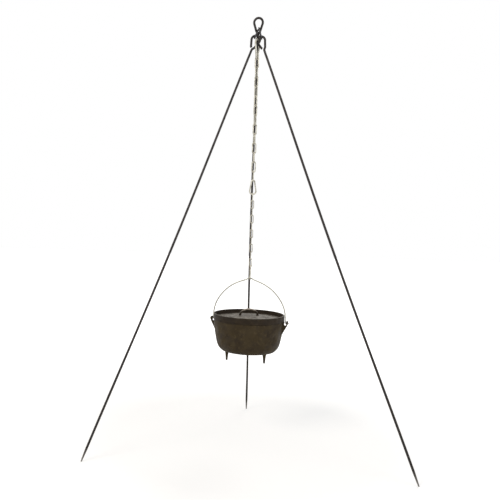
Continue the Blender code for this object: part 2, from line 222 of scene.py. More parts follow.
@dataclass(frozen=True)
class Finish:
    """What a surface is made of, and the name of its material."""

    name: str


@dataclass(frozen=True)
class WornRodPaint(Finish):
    """Hot rolled mild steel rod under thin black paint.

    The paint is a dark brown at the bottom and turns a warm grey towards the top. The eye sees
    a dark satin bar with soft brown blotches, and scuffed steel at the point.
    """

    low: str = "#1b130d"
    high: str = "#2a2523"
    blotch: str = "#120f0c"
    rust: str = "#38271a"
    steel: str = "#6b6762"
    low_height: float = 0.25
    high_height: float = 1.25
    scuffed_below: float = 0.045
    bare_below: float = 0.012

    def material(self) -> bpy.types.Material:
        """Builds the material."""
        paint = Surface(self.name, self.low, specular=0.3)
        # dark brown towards the bottom, turning a warm grey towards the top
        paint.coat(paint.band(self.low_height, self.high_height), self.high)
        # blotches a few bar widths long
        paint.coat(paint.blotches(34, 3, 0.45, 0.7), self.blotch)
        # pinhead rust, drawn at 5 mm so that it shows
        paint.coat(paint.blotches(5, 2, 0.62, 0.74), self.rust)
        paint.coat(paint.band(self.scuffed_below, self.bare_below), self.steel)
        paint.roughen(paint.blotches(9, 3, 0.3, 0.7), 0.36, 0.6)
        # mill scale under the paint, drawn at 1.6 mm so that it shows
        paint.emboss(paint.blotches(1.6, 3, 0.3, 0.7), 0.35, 0.12)
        return paint.done()


@dataclass(frozen=True)
class BlackOxide(Finish):
    """Welded steel ring with a baked black oxide, smooth and slightly glossy, greyer where it rubs."""

    colour: str = "#17161a"
    rubbed: str = "#3b3936"

    def material(self) -> bpy.types.Material:
        """Builds the material."""
        oxide = Surface(self.name, self.colour, roughness=0.34)
        oxide.coat(oxide.blotches(8, 3, 0.5, 0.72), self.rubbed)
        oxide.emboss(oxide.blotches(1.2, 2, 0.3, 0.7), 0.25, 0.08)
        return oxide.done()


@dataclass(frozen=True)
class ZincPlate(Finish):
    """Electroplated zinc on steel wire, dulled by smoke.

    The eye sees pale warm grey metal with cloudy patches, and a brown film that thickens towards
    the pot.
    """

    bright: str = "#c2bfb3"
    dull: str = "#8f8b7e"
    film: str = "#75675a"
    film_from: float = 0.95
    film_to: float = 0.5

    def material(self) -> bpy.types.Material:
        """Builds the material."""
        plate = Surface(self.name, self.bright, metallic=1.0)
        plate.coat(plate.blotches(11, 3, 0.36, 0.66), self.dull)
        near_pot = plate.band(self.film_from, self.film_to)
        plate.coat(plate.both(near_pot, plate.blotches(6, 3, 0.42, 0.66)), self.film)
        plate.roughen(plate.blotches(4, 3, 0.3, 0.7), 0.3, 0.52)
        return plate.done()


@dataclass(frozen=True)
class SeasonedIron(Finish):
    """Sand cast grey iron, oiled and baked until it blackened.

    The eye sees a mottled olive brown black skin with a fine sand grain, a dull sheen where the
    oil is thick, and pale ash on the surfaces that face up.
    """

    skin: str = "#382e1c"
    oil: str = "#2c2317"
    scorch: str = "#443925"
    ash: str = "#837d74"
    ash_share: float = 0.0
    # a painted highlight with wear: pale metal between two heights, used on the top of the lid handle
    highlight_and_wear: str = "#a79c90"
    highlight_and_wear_from: float = 0.0
    highlight_and_wear_to: float = 0.0

    def material(self) -> bpy.types.Material:
        """Builds the material."""
        iron = Surface(self.name, self.skin, specular=0.15)
        iron.coat(iron.blotches(26, 4, 0.38, 0.66), self.oil)
        iron.coat(iron.blotches(9, 4, 0.54, 0.76), self.scorch)
        if self.ash_share:
            iron.coat(iron.both(iron.facing_up(self.ash_share), iron.blotches(14, 4, 0.3, 0.62)), self.ash)
        # painted highlight and wear, a pale band on the top of the lid handle
        if self.highlight_and_wear_to:
            highlight_and_wear = iron.band(self.highlight_and_wear_from, self.highlight_and_wear_to)
            iron.coat(iron.both(highlight_and_wear, iron.blotches(5, 3, 0.25, 0.55)), self.highlight_and_wear)
        iron.roughen(iron.blotches(22, 3, 0.35, 0.68), 0.74, 0.52)
        # sand grain of about a millimetre, drawn at 1.8 mm so that it shows
        iron.emboss(iron.blotches(1.8, 3, 0.25, 0.75), 0.5, 0.25)
        return iron.done()


# Outlines


def arc(centre: Point, radius: float, start: float, end: float, steps: int) -> list[Point]:
    """Points along an arc.

    Args:
        centre: middle of the arc.
        radius: its radius.
        start: first angle in radians.
        end: last angle in radians.
        steps: how many pieces it is cut into.

    Returns:
        The points, both ends included.
    """
    turns = [start + (end - start) * step / steps for step in range(steps + 1)]
    return [(centre[0] + radius * math.cos(a), centre[1] + radius * math.sin(a)) for a in turns]


def egg(top_radius: float, top: float, low_radius: float, low: float, steps: int) -> list[Point]:
    """A closed line of two bends joined by straight sides.

    Args:
        top_radius: radius of the upper bend.
        top: height of its centre.
        low_radius: radius of the lower bend.
        low: height of its centre.
        steps: pieces in each bend.

    Returns:
        The points, once round.
    """
    lean = math.asin((top_radius - low_radius) / (top - low))
    return (arc((0, top), top_radius, -lean, math.pi + lean, steps)
            + arc((0, low), low_radius, math.pi + lean, 2 * math.pi - lean, steps))


def s_bend(start: Point, start_way: Point, end: Point, end_way: Point, steps: int) -> list[Point]:
    """Inner points of a smooth run between two places with known directions.

    Args:
        start: first place.
        start_way: direction and pull there.
        end: last place.
        end_way: direction and pull there.
        steps: how many pieces it is cut into.

    Returns:
        The points between the two ends.
    """
    run = []
    for step in range(1, steps):
        t = step / steps
        a, b, c, d = 2 * t**3 - 3 * t**2 + 1, t**3 - 2 * t**2 + t, -2 * t**3 + 3 * t**2, t**3 - t**2
        run.append((a * start[0] + b * start_way[0] + c * end[0] + d * end_way[0],
                    a * start[1] + b * start_way[1] + c * end[1] + d * end_way[1]))
    return run


def eased(corners: list[Corner], closed: bool, steps: int = 5) -> list[Point]:
    """Rounds the corners of an outline.

    Args:
        corners: across, up and how far from the corner the rounding starts.
        closed: whether the last corner joins the first.
        steps: pieces in each rounding.

    Returns:
        The rounded outline. An open one keeps its two ends.
    """
    line: list[Point] = []
    count = len(corners)
    for index, (x, z, reach) in enumerate(corners):
        here = Vector((x, z))
        if reach <= 0 or (not closed and index in (0, count - 1)):
            line.append((x, z))
            continue
        before = Vector(corners[index - 1][:2]) - here
        after = Vector(corners[(index + 1) % count][:2]) - here
        first = here + before.normalized() * min(reach, 0.49 * before.length)
        last = here + after.normalized() * min(reach, 0.49 * after.length)
        for step in range(steps + 1):
            t = step / steps
            spot = first * (1 - t)**2 + here * 2 * t * (1 - t) + last * t**2
            line.append((spot.x, spot.y))
    return line


def around(radius: float, azimuth: float) -> Vector:
    """A place on the ground, at a distance from the middle and in a direction."""
    return Vector((radius * math.cos(azimuth), radius * math.sin(azimuth), 0))


def metres(corners: list[Corner]) -> list[Corner]:
    """Turns corners that are written in millimetres into metres."""
    return [(x * MM, z * MM, reach * MM) for x, z, reach in corners]


# Meshes


def mesh_of(bm: bmesh.types.BMesh, name: str) -> bpy.types.Mesh:
    """Ends a mesh in the making, with its faces pointing outwards."""
    bmesh.ops.recalc_face_normals(bm, faces=bm.faces[:])
    mesh = bpy.data.meshes.new(name)
    bm.to_mesh(mesh)
    bm.free()
    return mesh


def dress(obj: bpy.types.Object, finish: bpy.types.Material) -> None:
    """Gives an object one material all over."""
    obj.data.materials.clear()
    obj.data.materials.append(finish)


def put(name: str, mesh: bpy.types.Mesh, finish: bpy.types.Material | None) -> bpy.types.Object:
    """Puts a mesh in the scene as an object at the origin.

    Args:
        name: the object's name.
        mesh: its mesh, already in place.
        finish: its material, or None where the mesh has one.

    Returns:
        The new object.
    """
    made = bpy.data.objects.new(name, mesh)
    if finish is not None:
        dress(made, finish)
    bpy.context.scene.collection.objects.link(made)
    return made


def settled(obj: bpy.types.Object) -> bpy.types.Object:
    """Turns an object with modifiers into a plain smooth one, with its sharp bends kept crisp."""
    graph = bpy.context.evaluated_depsgraph_get()
    mesh = bpy.data.meshes.new_from_object(obj.evaluated_get(graph), depsgraph=graph)
    obj.modifiers.clear()
    obj.data = mesh
    mesh.shade_smooth()
    mesh.set_sharp_from_angle(angle=SHARP_BEND)
    return obj


def combined(obj: bpy.types.Object, others: list[bpy.types.Object], operation: str) -> bpy.types.Object:
    """Joins other shapes to an object, or cuts them away, and removes them.

    Args:
        obj: the object that is kept.
        others: shapes that are used up.
        operation: UNION or DIFFERENCE.

    Returns:
        The same object.
    """
    for other in others:
        step = obj.modifiers.new(other.name, "BOOLEAN")
        step.operation = operation
        step.solver = "EXACT"
        step.object = other
    settled(obj)
    for other in others:
        bpy.data.objects.remove(other, do_unlink=True)
    return obj


def swept(name: str, points: list[Vector], sizes: list[Point], normal: Vector,
          sides: int) -> bpy.types.Mesh:
    """A bent bar whose section may be flattened.

    Args:
        name: the mesh's name.
        points: its centreline.
        sizes: at each point, the half size along normal and the half size across it.
        normal: the direction square to the plane of the bend.
        sides: how many faces go round it.

    Returns:
        The closed bar.
    """
    bm = bmesh.new()
    rings = []
    for index, (point, size) in enumerate(zip(points, sizes)):
        ahead = points[min(index + 1, len(points) - 1)] - point
        behind = point - points[max(index - 1, 0)]
        along = (ahead.normalized() + behind.normalized()).normalized()
        side = (normal - along * normal.dot(along)).normalized()
        out = along.cross(side)
        turns = [2 * math.pi * (step + 0.5) / sides for step in range(sides)]
        spots = [point + side * (size[0] * math.cos(a)) + out * (size[1] * math.sin(a)) for a in turns]
        rings.append([bm.verts.new(spot) for spot in spots])
    bm.faces.new(rings[0][::-1])
    bm.faces.new(rings[-1])
    for first, second in zip(rings, rings[1:]):
        for step in range(sides):
            after = (step + 1) % sides
            bm.faces.new((first[step], first[after], second[after], second[step]))
    return mesh_of(bm, name)


def turned(name: str, profile: list[Point], segments: int) -> bpy.types.Mesh:
    """A profile turned about the Z axis.

    Args:
        name: the mesh's name.
        profile: radius and height of each point, with radius zero only at its two ends.
        segments: faces once round.

    Returns:
        The closed turned shape.
    """
    bm = bmesh.new()
    columns = []
    for radius, height in profile:
        if radius == 0:
            columns.append([bm.verts.new((0, 0, height))] * segments)
            continue
        turns = [2 * math.pi * step / segments for step in range(segments)]
        columns.append([bm.verts.new((radius * math.cos(a), radius * math.sin(a), height)) for a in turns])
    for first, second in zip(columns, columns[1:]):
        for step in range(segments):
            after = (step + 1) % segments
            corners = []
            for corner in (first[step], first[after], second[after], second[step]):
                if corner not in corners:
                    corners.append(corner)
            bm.faces.new(corners)
    return mesh_of(bm, name)


def slab(name: str, outline: list[Point], width: float) -> bpy.types.Mesh:
    """An outline in the XZ plane, thickened along Y.

    Args:
        name: the mesh's name.
        outline: its points.
        width: its whole thickness.

    Returns:
        The closed slab.
    """
    bm = bmesh.new()
    face = bm.faces.new([bm.verts.new((x, -width / 2, z)) for x, z in outline])
    moved = bmesh.ops.extrude_face_region(bm, geom=[face])["geom"]
    far_side = [item for item in moved if isinstance(item, bmesh.types.BMVert)]
    bmesh.ops.translate(bm, vec=(0, width, 0), verts=far_side)
    return mesh_of(bm, name)


def pin(name: str, length: float, radius: float, place: Vector, yaw: float) -> bpy.types.Object:
    """A plain round bar across a hook or an ear, to cut with.

    Args:
        name: the object's name.
        length: its length, along X before it is turned.
        radius: its radius.
        place: its middle.
        yaw: its turn about the plumb line.

    Returns:
        The object.
    """
    bm = bmesh.new()
    turn = Matrix.Rotation(yaw, 4, "Z") @ Matrix.Rotation(math.pi / 2, 4, "Y")
    bmesh.ops.create_cone(bm, cap_ends=True, segments=20, radius1=radius, radius2=radius, depth=length,
                          matrix=Matrix.Translation(place) @ turn)
    return put(name, mesh_of(bm, name), None)


# Geometry Nodes trees


class Tree:
    """A Geometry Nodes tree with named inputs, whose result is kept as a plain mesh."""

    def __init__(self, name: str, inputs: dict[str, str]) -> None:
        """Makes the empty tree.

        Args:
            name: the tree's name.
            inputs: each input's name and its kind of socket.
        """
        self.group = bpy.data.node_groups.new(name, "GeometryNodeTree")
        sockets = self.group.interface
        sockets.new_socket("Geometry", in_out="INPUT", socket_type="NodeSocketGeometry")
        self.keys = {}
        for label, kind in {**inputs, "Finish": "Material"}.items():
            socket = sockets.new_socket(label, in_out="INPUT", socket_type="NodeSocket" + kind)
            self.keys[label] = socket.identifier
        sockets.new_socket("Geometry", in_out="OUTPUT", socket_type="NodeSocketGeometry")
        self.given = add_node(self.group, "NodeGroupInput").outputs

    def add(self, kind: str, inputs: dict | None = None, **settings: object) -> bpy.types.NodeSocket:
        """Adds a node to this tree and gives its first output."""
        return add_node(self.group, kind, inputs, **settings).outputs[0]

    def maths(self, operation: str, first: object, second: object = 0.0) -> bpy.types.NodeSocket:
        """One step of arithmetic."""
        return self.add("ShaderNodeMath", {0: first, 1: second}, operation=operation)

    def times(self, first: object, second: object) -> bpy.types.NodeSocket:
        """Multiplies two numbers."""
        return self.maths("MULTIPLY", first, second)

    def xyz(self, x: object = 0.0, y: object = 0.0, z: object = 0.0) -> bpy.types.NodeSocket:
        """Puts three numbers together as a place or a size."""
        return self.add("ShaderNodeCombineXYZ", {0: x, 1: y, 2: z})

    def moved(self, geometry: bpy.types.NodeSocket, **places: object) -> bpy.types.NodeSocket:
        """Moves, turns or scales a shape."""
        return self.add("GeometryNodeTransform", {"Geometry": geometry, **places})

    def joined(self, *parts: bpy.types.NodeSocket) -> bpy.types.NodeSocket:
        """Joins shapes into one."""
        whole = add_node(self.group, "GeometryNodeJoinGeometry")
        for part in parts:
            self.group.links.new(part, whole.inputs[0])
        return whole.outputs[0]

    def end(self, geometry: bpy.types.NodeSocket) -> None:
        """Ends the tree: real meshes with their material.

        Args:
            geometry: what the tree has made.
        """
        real = self.add("GeometryNodeRealizeInstances", {"Geometry": geometry})
        dressed = self.add("GeometryNodeSetMaterial", {"Geometry": real, "Material": self.given["Finish"]})
        add_node(self.group, "NodeGroupOutput", {0: dressed})

    def make(self, name: str, base: bpy.types.Mesh, values: dict[str, object]) -> bpy.types.Object:
        """Runs the tree.

        Args:
            name: the new object's name.
            base: the mesh that goes in.
            values: each input's value by its name.

        Returns:
            The new object with a plain mesh.
        """
        made = put(name, base, None)
        step = made.modifiers.new(self.group.name, "NODES")
        step.node_group = self.group
        for label, value in values.items():
            step[self.keys[label]] = value
        return settled(made)


class BarTree(Tree):
    """Sweeps a round bar along a line of points that carry its radius."""

    def __init__(self) -> None:
        """Builds the tree."""
        super().__init__("round_bar", {"Sides": "Int"})
        line = self.add("GeometryNodeMeshToCurve", {"Mesh": self.given["Geometry"]})
        section = self.add("GeometryNodeCurvePrimitiveCircle",
                           {"Resolution": self.given["Sides"], "Radius": 1.0})
        radius = self.add("GeometryNodeInputNamedAttribute", {"Name": "radius"}, data_type="FLOAT")
        self.end(self.add("GeometryNodeCurveToMesh", {"Curve": line, "Profile Curve": section,
                                                      "Scale": radius, "Fill Caps": True}))

    def bar(self, name: str, points: list[Vector], radii: list[float], closed: bool,
            finish: bpy.types.Material, sides: int = 24) -> bpy.types.Object:
        """Makes one bar.

        Args:
            name: the object's name.
            points: its centreline.
            radii: its radius at each point.
            closed: whether it is a ring.
            finish: its material.
            sides: faces round it.

        Returns:
            The bar.
        """
        line = bpy.data.meshes.new(name)
        last = len(points) - 1
        edges = [(i, i + 1) for i in range(last)] + ([(last, 0)] if closed else [])
        line.from_pydata([tuple(p) for p in points], edges, [])
        line.attributes.new("radius", "FLOAT", "POINT").data.foreach_set("value", radii)
        return self.make(name, line, {"Sides": sides, "Finish": finish})


class ChainTree(Tree):
    """A hanging run of welded links, each a quarter turn from the last, of which one is kept."""

    def __init__(self, corners: int = 44, weld_proud: float = 1.13, weld_length: float = 0.6) -> None:
        """Builds the tree.

        Args:
            corners: how many straight pieces go round a link's two bends.
            weld_proud: radius of the weld's bead, against that of the wire.
            weld_length: half its length, against the wire's radius.
        """
        super().__init__("welded_chain", {
            "Links": "Int", "First Middle": "Vector", "Pitch": "Float", "Wire": "Float", "Bend": "Float",
            "Straight": "Float", "First Yaw": "Float", "Yaw Step": "Float", "Seed": "Int", "Keep": "Int"})
        given = self.given
        ring = self.add("GeometryNodeCurvePrimitiveCircle", {"Resolution": corners, "Radius": given["Bend"]})
        ring = self.moved(ring, Rotation=(0, 0, math.pi / corners))
        place = self.add("GeometryNodeInputPosition")
        spot = add_node(self.group, "ShaderNodeSeparateXYZ", {0: place}).outputs
        pulled = self.maths("ADD", spot[1], self.times(self.maths("SIGN", spot[1]), given["Straight"]))
        bent = self.xyz(spot[0], 0.0, pulled)
        path = self.add("GeometryNodeSetPosition", {"Geometry": ring, "Position": bent})
        half_wire = self.times(given["Wire"], 0.5)
        section = self.add("GeometryNodeCurvePrimitiveCircle", {"Resolution": 16, "Radius": half_wire})
        wire = self.add("GeometryNodeCurveToMesh", {"Curve": path, "Profile Curve": section})
        # the butt weld stands a little proud on one straight side
        bead = self.add("GeometryNodeMeshUVSphere", {"Segments": 16, "Rings": 8, "Radius": 1.0})
        proud, short = self.times(half_wire, weld_proud), self.times(half_wire, weld_length)
        weld = self.moved(bead, Translation=self.xyz(given["Bend"]), Scale=self.xyz(proud, proud, short))
        down = self.xyz(z=self.times(given["Pitch"], -1.0))
        row = self.add("GeometryNodeMeshLine", {"Count": given["Links"], "Offset": down,
                                                "Start Location": given["First Middle"]})
        number = self.add("GeometryNodeInputIndex")
        odd = self.maths("MODULO", number, 2.0)
        flip = add_node(self.group, "FunctionNodeRandomValue", {"Probability": 0.5, "Seed": given["Seed"]},
                        data_type="BOOLEAN").outputs[3]
        yaw = given["First Yaw"]
        for share, angle in ((number, given["Yaw Step"]), (odd, math.pi / 2), (flip, math.pi)):
            yaw = self.maths("ADD", yaw, self.times(share, angle))
        turn = self.add("FunctionNodeAxisAngleToRotation", {"Axis": (0, 0, 1), "Angle": yaw})
        wanted = self.add("FunctionNodeCompare", {2: number, 3: given["Keep"]}, data_type="INT",
                          operation="EQUAL")
        link = self.joined(wire, weld)
        self.end(self.add("GeometryNodeInstanceOnPoints", {"Points": row, "Selection": wanted,
                                                           "Rotation": turn, "Instance": link}))


class RivetTree(Tree):
    """A rivet across a hook: a shank and a domed head at each end."""

    def __init__(self) -> None:
        """Builds the tree."""
        super().__init__("domed_rivet", {"Reach": "Float", "Bore": "Float", "Head": "Float",
                                         "Dome": "Float", "Place": "Vector", "Turn": "Vector"})
        given = self.given
        whole = self.times(given["Reach"], 2.0)
        shank = self.add("GeometryNodeMeshCylinder", {"Vertices": 16, "Radius": given["Bore"],
                                                      "Depth": whole})
        start = self.xyz(z=self.times(given["Reach"], -1.0))
        ends = self.add("GeometryNodeMeshLine", {"Count": 2, "Start Location": start,
                                                 "Offset": self.xyz(z=whole)})
        ball = self.add("GeometryNodeMeshUVSphere", {"Segments": 20, "Rings": 10, "Radius": 1.0})
        flat = self.xyz(given["Head"], given["Head"], given["Dome"])
        heads = self.add("GeometryNodeInstanceOnPoints", {"Points": ends, "Instance": ball, "Scale": flat})
        across = self.moved(self.joined(shank, heads), Rotation=(0, math.pi / 2, 0))
        self.end(self.moved(across, Translation=given["Place"], Rotation=given["Turn"]))


# Pieces and what they ride on


@dataclass
class Workshop:
    """The trees and finishes that the sub-assemblies share, and a count of the pieces made."""

    bars: BarTree = field(default_factory=BarTree)
    chains: ChainTree = field(default_factory=ChainTree)
    rivets: RivetTree = field(default_factory=RivetTree)
    rod: bpy.types.Material = field(default_factory=WornRodPaint("worn_black_paint_on_rod").material)
    oxide: bpy.types.Material = field(default_factory=BlackOxide("black_oxide_ring").material)
    zinc: bpy.types.Material = field(default_factory=ZincPlate("smoked_zinc_plate").material)
    count: int = 0

    def hand_over(self, piece: bpy.types.Object, body: str, node: str) -> None:
        """Lets a finished piece stand for its solid and ride on its body.

        Args:
            piece: the finished object.
            body: the body it moves with.
            node: the solid it stands for.
        """
        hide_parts(node)
        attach(piece, body)
        self.count += 1
        LOG.info("%s rides on %s, %d faces", piece.name, body, len(piece.data.polygons))


@dataclass
class Rod:
    """A bent rod with a pointed foot and a teardrop eye."""

    name: str
    azimuth_deg: float
    foot_radius: float
    eye: Vector
    eye_turn: float
    bow: Vector
    thickness: float = 8 * MM
    tip: float = 4 * MM
    taper: float = 48 * MM
    eye_top_radius: float = 15 * MM
    eye_top_rise: float = 4 * MM
    eye_low_radius: float = 7.3 * MM
    eye_low_drop: float = 21.7 * MM
    neck: float = 37 * MM
    end_angle: float = math.radians(228)
    pieces: int = 40

    def eye_line(self) -> list[Point]:
        """The bent end, from the neck round to just short of the neck."""
        span = self.eye_top_rise + self.eye_low_drop
        lean = math.asin((self.eye_top_radius - self.eye_low_radius) / span)
        low = (0.0, -self.eye_low_drop)
        joint = (self.eye_low_radius * math.cos(lean), low[1] - self.eye_low_radius * math.sin(lean))
        pull = self.neck - self.eye_low_drop
        run = s_bend((0, -self.neck), (0, pull), joint, (pull * math.sin(lean), pull * math.cos(lean)), 12)
        over = arc((0, self.eye_top_rise), self.eye_top_radius, -lean, math.pi + lean, 34)
        back = arc(low, self.eye_low_radius, math.pi + lean, self.end_angle, 6)
        return [(0, -self.neck)] + run + [joint] + over + back

    def build(self, shop: Workshop) -> None:
        """Makes the rod and hands it over.

        Args:
            shop: the shared trees and finishes.
        """
        azimuth = math.radians(self.azimuth_deg)
        foot = PLUMB + around(self.foot_radius, azimuth)
        top = TOP + self.eye
        up = (top - foot).normalized()
        front = Vector((0, -1, 0))
        facing = (front - up * front.dot(up)).normalized()
        facing = facing * math.cos(self.eye_turn) + up.cross(facing) * math.sin(self.eye_turn)
        across = up.cross(facing)
        length = (top - foot).length
        thick, thin = self.thickness / 2, self.tip / 2
        # the rounded point, drawn out to the full thickness, and then the plain bar
        marks = [(0.0, thin * 0.72), (0.7 * MM, thin * 0.95), (2.5 * MM, thin * 1.04),
                 (12 * MM, 0.68 * thick), (24 * MM, 0.79 * thick), (36 * MM, 0.92 * thick),
                 (self.taper, thick)]
        straight = length - self.neck - self.taper
        marks += [(self.taper + straight * step / self.pieces, thick) for step in range(1, self.pieces)]
        points, radii = [], []
        for distance, radius in marks:
            s = distance / length
            points.append(foot + (top - foot) * s + self.bow * (16 * s**2 * (1 - s)**2))
            radii.append(radius)
        eye = [top + across * u + up * v for u, v in self.eye_line()]
        points += eye
        radii += [thick] * len(eye)
        # the sawn end of the eye is filed round its edge
        points.append(points[-1] + (points[-1] - points[-2]).normalized() * 0.5 * MM)
        radii.append(thick * 0.86)
        rod = shop.bars.bar(self.name + "_rod", points, radii, False, shop.rod, 28)
        for vertex in rod.data.vertices:
            vertex.co.z = max(vertex.co.z, 0.0)
        shop.hand_over(rod, self.name, self.name)


@dataclass
class OvalLink:
    """A welded oval ring between two eyes."""

    side: str
    centre: Vector
    yaw: float
    pitch: float
    roll: float
    wire: float = 6 * MM
    bend: float = 8 * MM
    half: float = 11.5 * MM

    def build(self, shop: Workshop) -> None:
        """Makes the ring and hands it over.

        Args:
            shop: the shared trees and finishes.
        """
        turn = (Matrix.Rotation(self.yaw, 3, "Z") @ Matrix.Rotation(self.pitch, 3, "X")
                @ Matrix.Rotation(self.roll, 3, "Y"))
        line = egg(self.bend, self.half, self.bend, -self.half, 20)
        points = [TOP + self.centre + turn @ Vector((0, y, z)) for y, z in line]
        radii = [self.wire / 2] * len(points)
        ring = shop.bars.bar(f"{self.side}_oval_ring", points, radii, True, shop.oxide)
        shop.hand_over(ring, f"{self.side}_oval", f"top_link_{self.side}")


@dataclass
class SnapHook:
    """A spring hook of bent wire, with a hollow gate on a rivet."""

    name: str
    wire: float
    wide: float
    narrow: float
    length: float
    hang: float
    top: HookEnd
    nose_drop: float
    place: Vector
    yaw: float

    def __post_init__(self) -> None:
        """Works out the outline's fixed places."""
        half = (self.length - self.wire) / 2
        self.middle = self.hang - half
        self.bottom = self.hang - (self.length - self.wire)
        self.wide_bend = half - self.wide
        self.narrow_bend = self.narrow - half
        self.lean = math.asin((self.wide - self.narrow) / (self.wide_bend - self.narrow_bend))
        across, rise = math.cos(self.lean), math.sin(self.lean)
        self.way = (rise, across)
        self.nose = self.along((self.wide * across, self.wide_bend - self.wide * rise), -self.nose_drop)
        root = (self.narrow * across, self.narrow_bend - self.narrow * rise)
        self.pivot = self.along(root, self.wire * 1.2)
        self.turn = Matrix.Rotation(self.yaw, 3, "Z")
        self.shank = self.wire * 0.15

    def along(self, place: Point, distance: float) -> Point:
        """A place further along the gate's side."""
        return place[0] + self.way[0] * distance, place[1] + self.way[1] * distance

    def world(self, place: Point) -> Vector:
        """A place of the outline, in the scene."""
        return self.place + self.turn @ Vector((0, place[0], self.middle + self.top.value * place[1]))

    def spine(self, finish: bpy.types.Material) -> bpy.types.Object:
        """The bent wire, from its grooved nose to its flattened and drilled tab.

        Args:
            finish: its material.

        Returns:
            The piece.
        """
        thick = self.wire / 2
        over = arc((0, self.wide_bend), self.wide, -self.lean, math.pi + self.lean, 32)
        under = arc((0, self.narrow_bend), self.narrow, math.pi + self.lean, 2 * math.pi - self.lean, 24)
        # each mark holds how far along it is, in wire widths, and how thick the bar is there
        nose = [(0.0, 0.66), (0.06, 0.8), (0.2, 0.82), (0.27, 0.66), (0.4, 0.66), (0.5, 1.0)]
        line = [self.along(self.nose, share * self.wire) for share, _ in nose]
        sizes = [(thick * size, thick * size) for _, size in nose]
        last, apart = line[-1], self.wire * 0.2
        first = next((i for i, p in enumerate(over) if p[1] > last[1] and math.dist(p, last) > apart), 0)
        line += over[first:] + under
        sizes += [(thick, thick)] * (len(over) - first + len(under))
        tab = [(-0.95, 1.0, 1.0), (-0.8, 0.6, 0.98), (-0.66, 1 / 3, 0.9), (0.16, 1 / 3, 0.86),
               (0.26, 0.3, 0.6), (0.3, 0.26, 0.3)]
        line += [self.along(self.pivot, share * self.wire) for share, _, _ in tab]
        sizes += [(thick * flat, thick * broad) for _, flat, broad in tab]
        mesh = swept(self.name, [self.world(p) for p in line], sizes, self.turn @ Vector((1, 0, 0)), 24)
        body = put(self.name + "_wire", mesh, finish)
        hole = pin(self.name + "_bore", self.wire, self.shank + GAP, self.world(self.pivot), self.yaw)
        return combined(body, [hole], "DIFFERENCE")

    def latch(self, finish: bpy.types.Material) -> bpy.types.Object:
        """The gate: a round bar slotted over the tab, narrowing at its end by the nose.

        Args:
            finish: its material.

        Returns:
            The piece.
        """
        thick = self.wire / 2
        shut = math.dist(self.nose, self.pivot) - 0.4 * MM
        marks = [(-0.42 * self.wire, 0.7), (-0.36 * self.wire, 0.93), (-0.24 * self.wire, 1.0),
                 (shut - 0.3 * self.wire, 1.0), (shut - 0.06 * self.wire, 0.96), (shut, 0.84)]
        line = [self.world(self.along(self.pivot, distance)) for distance, _ in marks]
        across = self.turn @ Vector((1, 0, 0))
        sizes = [(thick * size, thick * size) for _, size in marks]
        mesh = swept(self.name + "_gate", line, sizes, across, 24)
        gate = put(self.name + "_latch", mesh, finish)
        half = self.wire / 6 + GAP
        ends = [self.world(self.along(self.pivot, distance)) for distance in (-self.wire, self.wire * 0.62)]
        cut = swept(self.name + "_slot", ends, [(half * math.sqrt(2), self.wire)] * 2, across, 4)
        slot = put(self.name + "_slot", cut, None)
        hole = pin(self.name + "_hole", self.wire * 1.5, self.shank + GAP, self.world(self.pivot), self.yaw)
        return combined(gate, [slot, hole], "DIFFERENCE")

    def build(self, shop: Workshop) -> None:
        """Makes the wire, the gate and the rivet, and hands them over.

        Args:
            shop: the shared trees and finishes.
        """
        shop.hand_over(self.spine(shop.zinc), self.name, self.name + "_body")
        shop.hand_over(self.latch(shop.zinc), self.name + "_gate", self.name + "_gate")
        sizes = {"Reach": self.wire / 2 + GAP, "Bore": self.shank, "Head": self.wire * 0.3,
                 "Dome": self.wire * 0.12, "Place": tuple(self.world(self.pivot)),
                 "Turn": (0.0, 0.0, self.yaw), "Finish": shop.zinc}
        rivet = shop.rivets.make(self.name + "_pin", bpy.data.meshes.new(self.name), sizes)
        shop.hand_over(rivet, self.name, self.name + "_rivet")


@dataclass
class Chain:
    """A run of long welded links."""

    name: str
    links: int
    wire: float
    pitch: float
    bend: float
    above: float
    start: Vector
    first_yaw: float
    last_yaw: float
    seed: int

    @property
    def inner(self) -> float:
        """Inside length of a link."""
        return self.pitch + GAP

    @property
    def end(self) -> Vector:
        """Centre of the last link's bottom wire, which the next piece hangs on."""
        drop = self.inner + self.wire / 2 + self.pitch * (self.links - 1)
        return self.start + Vector((0, 0, self.above / 2 + GAP - drop))

    def build(self, shop: Workshop) -> None:
        """Makes every link and hands it over.

        Args:
            shop: the shared trees and finishes.
        """
        middle = self.start + Vector((0, 0, self.above / 2 + GAP - self.inner / 2))
        values = {"Links": self.links, "First Middle": tuple(middle), "Pitch": self.pitch, "Wire": self.wire,
                  "Bend": self.bend, "Straight": (self.inner + self.wire) / 2 - self.bend,
                  "First Yaw": self.first_yaw, "Seed": self.seed, "Finish": shop.zinc,
                  "Yaw Step": (self.last_yaw - self.first_yaw) / (self.links - 1)}
        for number in range(self.links):
            name = f"{self.name}_{number + 1:02d}"
            link = shop.chains.make(name + "_ring", bpy.data.meshes.new(name), {**values, "Keep": number})
            shop.hand_over(link, name, name)


